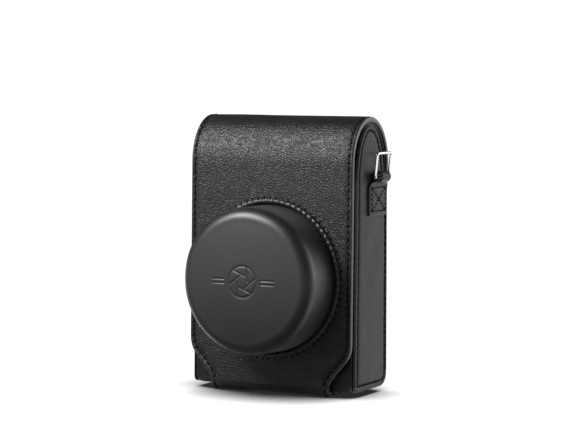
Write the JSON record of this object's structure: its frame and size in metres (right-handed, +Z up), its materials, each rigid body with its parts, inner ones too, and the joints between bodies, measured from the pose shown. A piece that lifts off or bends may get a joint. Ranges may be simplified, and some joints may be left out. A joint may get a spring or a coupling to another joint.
{
  "type": "camera case",
  "caption": "Upright black leather ever-ready case for a compact camera, with a moulded round lens cup, over-the-top flap with snap tongue, and side strap rings.",
  "frame": {"origin": "centre of the overall footprint, on the surface that the case stands on", "axes": "+Z up, the front with the lens cup faces -Y, +X is to the right of a viewer who faces the front"},
  "size_m": [0.0948, 0.0685, 0.1266],
  "materials": {
    "grain_leather": "fine pebble grain, satin, black",
    "smooth_leather": "smooth, satin, black",
    "cup_leather": "smooth, moulded, slightly glossy, black",
    "lining": "short-nap microfibre, dark grey",
    "board": "grey-brown stiffener board",
    "thread": "waxed black sewing thread",
    "polished_steel": "polished, bright nickel plate",
    "nickel": "satin nickel plate"
  },
  "bodies": {
    "case_body": {"back_panel": "smooth_leather", "back_board": "board", "back_lining": "lining", "base_panel": "smooth_leather", "base_board": "board", "base_lining": "lining", "front_lip": "smooth_leather", "front_lip_lining": "lining", "snap_stud": "nickel", "belt_loop": "smooth_leather", "belt_loop_thread_lower": "thread", "belt_loop_thread_upper": "thread", "hinge_fold": "smooth_leather", "gusset_right": "smooth_leather", "gusset_board_right": "board", "gusset_lining_right": "lining", "gusset_thread_right": "thread", "front_rail_right": "smooth_leather", "back_thread_right": "thread", "ring_tab_right": "smooth_leather", "tab_thread_right": "thread", "gusset_left": "smooth_leather", "gusset_board_left": "board", "gusset_lining_left": "lining", "gusset_thread_left": "thread", "front_rail_left": "smooth_leather", "back_thread_left": "thread", "ring_tab_left": "smooth_leather", "tab_thread_left": "thread"},
    "flap": {"flap_leather": "grain_leather", "flap_board": "board", "arch_board": "board", "flap_lining": "lining", "lens_cup": "cup_leather", "lens_cup_lining": "lining", "cup_rim": "cup_leather", "cup_thread": "thread", "flap_thread_right": "thread", "flap_thread_left": "thread", "tongue_fold": "grain_leather"},
    "tongue": {"tongue_leather": "grain_leather", "tongue_lining": "lining", "snap_socket": "nickel", "snap_cap": "nickel"},
    "ring_right": {"strap_ring_right": "polished_steel"},
    "ring_left": {"strap_ring_left": "polished_steel"}
  },
  "joints": [
    {"name": "flap_hinge", "type": "hinge", "parent": "case_body", "child": "flap", "pos_m": [0, 0.0274, 0.097], "axis": [-1, 0, 0], "range_deg": [0, 160], "deforming": ["hinge_fold"]},
    {"name": "tongue_bend", "type": "hinge", "parent": "flap", "child": "tongue", "pos_m": [0, -0.0053, 0.005], "axis": [-1, 0, 0], "range_deg": [0, 90], "deforming": ["tongue_fold"]},
    {"name": "ring_right_swivel", "type": "hinge", "parent": "case_body", "child": "ring_right", "pos_m": [0.0448, 0.015, 0.0988], "axis": [0, 1, 0], "range_deg": [-10, 155]},
    {"name": "ring_left_swivel", "type": "hinge", "parent": "case_body", "child": "ring_left", "pos_m": [-0.0448, 0.015, 0.0988], "axis": [0, -1, 0], "range_deg": [-10, 155]}
  ]
}
